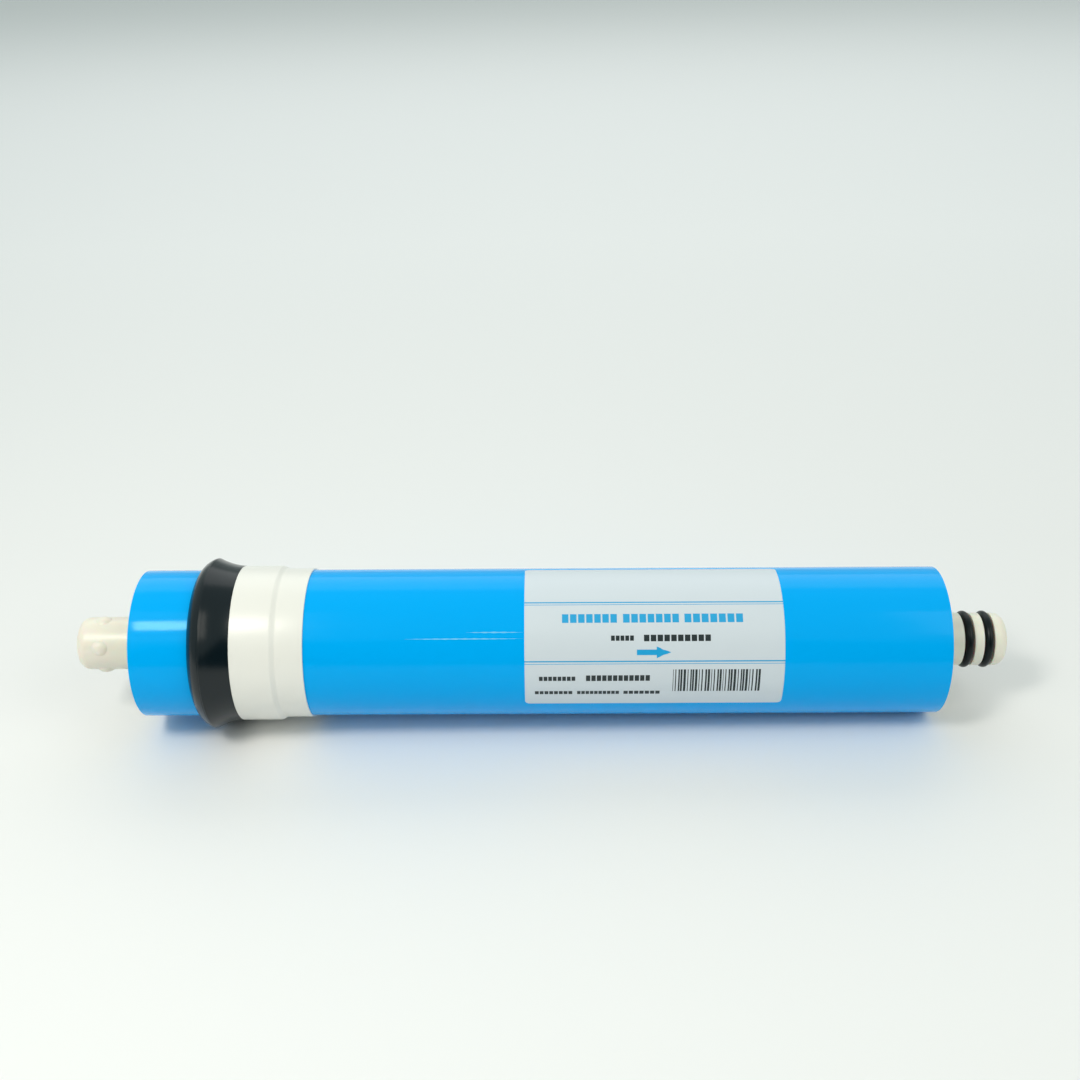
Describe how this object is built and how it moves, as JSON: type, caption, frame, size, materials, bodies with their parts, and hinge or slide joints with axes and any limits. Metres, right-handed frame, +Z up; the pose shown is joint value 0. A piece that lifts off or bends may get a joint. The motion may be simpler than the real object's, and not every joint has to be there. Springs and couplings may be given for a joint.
{
  "type": "reverse osmosis membrane element",
  "caption": "Spiral-wound reverse osmosis element in blue film, with a rubber brine seal under white tape, a closed tube end and an outlet spigot with O-rings.",
  "frame": {"origin": "on the tube's axis, midway between its two tips", "axes": "+X along the axis towards the outlet spigot, +Z up, the label's side faces -Y"},
  "size_m": [0.298, 0.0548, 0.0549],
  "materials": {
    "tube_plastic": "satin",
    "ring_rubber": "satin",
    "carrier_knit": "matte",
    "membrane": "matte",
    "spacer_net": "matte",
    "blue_film": "gloss",
    "seal_rubber": "satin",
    "white_tape": "satin",
    "label_paper": "satin"
  },
  "bodies": {
    "root": {"permeate_tube": "tube_plastic", "o_ring_inner": "ring_rubber", "o_ring_outer": "ring_rubber", "core_carrier": "carrier_knit", "membrane_leaf_1": "membrane", "membrane_leaf_2": "membrane", "feed_spacer_1": "spacer_net", "feed_spacer_2": "spacer_net", "outer_wrap": "blue_film", "brine_seal": "seal_rubber", "seal_tape": "white_tape", "label": "label_paper"}
  },
  "joints": []
}
